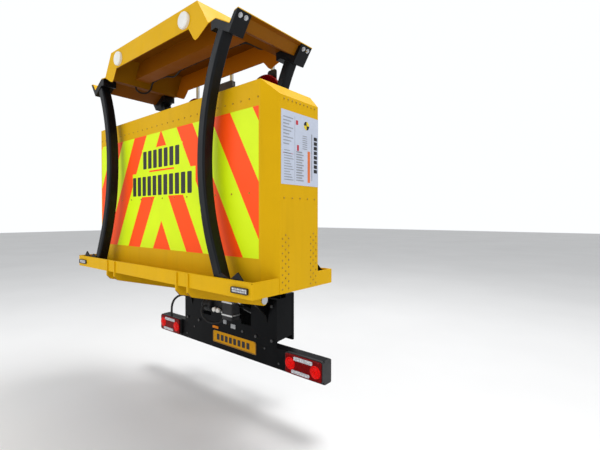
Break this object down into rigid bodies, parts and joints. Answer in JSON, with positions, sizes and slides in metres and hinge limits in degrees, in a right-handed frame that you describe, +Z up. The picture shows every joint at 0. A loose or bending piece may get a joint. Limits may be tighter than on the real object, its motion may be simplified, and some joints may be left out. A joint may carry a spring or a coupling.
{
  "type": "truck-mounted crash cushion with arrow board",
  "caption": "Tilting crash cushion for a light truck's tail, with chevron-faced box, top panel on curved arms, underrun bar and lifting light arrow board.",
  "frame": {"origin": "centre of the mounting plate's front face, where it bolts to a truck's chassis", "axes": "+X to the right seen from behind, +Y forwards to the truck, +Z up"},
  "size_m": [2.101, 1.02, 2.346],
  "materials": {
    "yellow_paint": "satin",
    "yellow_skin": "satin paint on sheet",
    "black_paint": "satin",
    "pin_steel": "zinc plated",
    "rod_chrome": "hard chrome",
    "mast_steel": "galvanised",
    "bush_bronze": "bearing bronze",
    "cell_aluminium": "mill finish",
    "chevron_film": "fluorescent retroreflective film",
    "label_film": "printed film",
    "white_nylon": "moulded",
    "black_plastic": "moulded",
    "red_lens": "moulded lens",
    "clear_lens": "moulded lens",
    "amber_lens": "moulded lens",
    "plate_amber": "acrylic",
    "tank_grey": "moulded",
    "motor_black": "painted casting",
    "hose_rubber": "matt",
    "board_black": "matt black paint"
  },
  "bodies": {
    "mount_frame": {"mounting_plate": "black_paint", "side_cheeks": "black_paint", "pivot_bushes": "bush_bronze", "back_plate": "black_paint", "underrun_bar": "black_paint", "bar_end_caps": "black_plastic", "tail_lamp_housings": "black_plastic", "tail_lamp_lenses": "red_lens", "plate_holder": "black_plastic", "number_plate": "plate_amber", "valve_block": "motor_black", "pump_motor": "motor_black", "hydraulic_tank": "tank_grey", "filler_caps": "white_nylon", "cylinder_brackets": "black_paint", "cylinder_base_pins": "pin_steel", "mast_beam": "black_paint", "masts": "mast_steel", "lamp_conduit": "hose_rubber", "hydraulic_hose": "hose_rubber", "frame_bolts": "pin_steel"},
    "cushion": {"deck_tray": "yellow_paint", "deck_lamps": "clear_lens", "hinge_lugs": "yellow_paint", "hinge_pins": "pin_steel", "crank_plates": "yellow_paint", "crank_pins": "pin_steel", "box_rear_sheet": "yellow_skin", "box_front_sheet": "yellow_skin", "box_left_sheet": "yellow_skin", "box_right_sheet": "yellow_skin", "box_roof": "yellow_skin", "box_diaphragm": "cell_aluminium", "lower_core": "cell_aluminium", "upper_core": "cell_aluminium", "chevron_sheet": "chevron_film", "side_label": "label_film", "saddle_brackets": "black_paint", "saddle_bolts": "pin_steel", "foot_brackets": "black_paint", "rear_left_arm": "black_paint", "rear_right_arm": "black_paint", "front_left_arm": "black_paint", "front_right_arm": "black_paint", "top_panel": "yellow_skin", "rear_skirt": "yellow_skin", "front_skirt": "yellow_skin", "cross_beam": "yellow_skin", "skid_pads": "white_nylon", "panel_cable": "hose_rubber"},
    "left_barrel": {"left_cylinder_barrel": "black_paint"},
    "right_barrel": {"right_cylinder_barrel": "black_paint"},
    "left_rod": {"left_cylinder_rod": "rod_chrome"},
    "right_rod": {"right_cylinder_rod": "rod_chrome"},
    "arrow_board": {"board_panel": "board_black", "board_rails": "mast_steel", "mast_sliders": "black_plastic", "amber_lamps": "amber_lens", "red_lamps": "red_lens", "control_box": "black_plastic"}
  },
  "joints": [
    {"name": "tilt", "type": "hinge", "parent": "mount_frame", "child": "cushion", "pos_m": [0, -0.39, 0.19], "axis": [1, 0, 0], "range_deg": [0, 90]},
    {"name": "board_lift", "type": "slide", "parent": "mount_frame", "child": "arrow_board", "axis": [0, 0, 1], "range_m": [0, 0.6]},
    {"name": "left_cylinder_swing", "type": "hinge", "parent": "mount_frame", "child": "left_barrel", "pos_m": [-0.24, -0.09, -0.03], "axis": [1, 0, 0], "range_deg": [0, 22.89]},
    {"name": "left_rod_stroke", "type": "slide", "parent": "left_barrel", "child": "left_rod", "axis": [0, -0.8591, 0.5118], "range_m": [-0.18364, 0]},
    {"name": "right_cylinder_swing", "type": "hinge", "parent": "mount_frame", "child": "right_barrel", "pos_m": [0.24, -0.09, -0.03], "axis": [1, 0, 0], "range_deg": [0, 22.89]},
    {"name": "right_rod_stroke", "type": "slide", "parent": "right_barrel", "child": "right_rod", "axis": [0, -0.8591, 0.5118], "range_m": [-0.18364, 0]}
  ],
  "couplings": [
    {"joint": "left_cylinder_swing", "follows": "tilt", "ratio": 0.25419},
    {"joint": "left_rod_stroke", "follows": "tilt", "m_per_rad": -0.1169},
    {"joint": "right_cylinder_swing", "follows": "tilt", "ratio": 0.25419},
    {"joint": "right_rod_stroke", "follows": "tilt", "m_per_rad": -0.1169}
  ]
}
